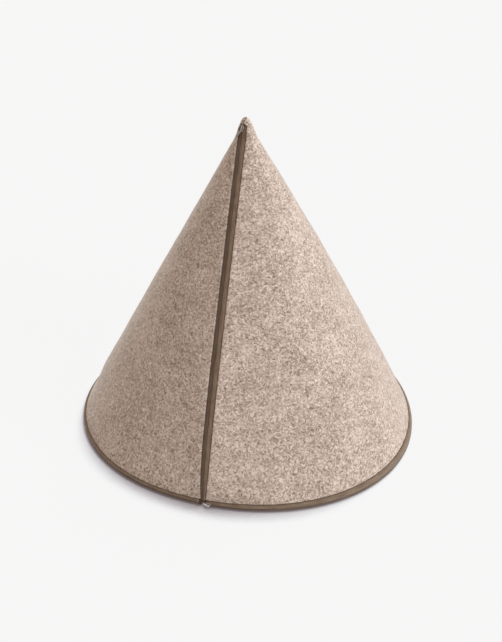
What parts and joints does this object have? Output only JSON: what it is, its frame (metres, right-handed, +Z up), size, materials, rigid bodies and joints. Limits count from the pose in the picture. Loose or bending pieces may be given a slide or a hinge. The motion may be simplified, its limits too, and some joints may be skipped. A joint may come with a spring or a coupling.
{
  "type": "dog teepee bed",
  "caption": "Closed cone of thick mottled felt standing on a round felt base, with a zip up its front and another round its foot that joins the cone to the base.",
  "frame": {"origin": "under the middle of the bed's box, on the underside of the base", "axes": "+Z up towards the cone's tip; -Y is the front, where the zip runs up the cone; +X is to the right of someone who faces the front"},
  "size_m": [0.6042, 0.5985, 0.5348],
  "materials": {
    "felt": "thick pressed felt, mottled tan, matt",
    "zip_tape_dark": "woven zip tape, dark brown",
    "zip_tape_light": "woven zip tape, taupe",
    "zip_coil": "dark brown moulded coil",
    "zip_metal": "brown-grey metal, satin",
    "bright_metal": "bright plated metal"
  },
  "bodies": {
    "root": {"cone_felt": "felt", "base_felt": "felt", "front_tape_left": "zip_tape_dark", "front_tape_right": "zip_tape_light", "front_coil": "zip_coil", "front_slider": "zip_metal", "front_pull": "zip_metal", "rim_tape_upper": "zip_tape_light", "rim_tape_lower": "zip_tape_dark", "rim_coil": "zip_coil", "rim_slider": "zip_metal", "rim_pull": "bright_metal"}
  },
  "joints": []
}
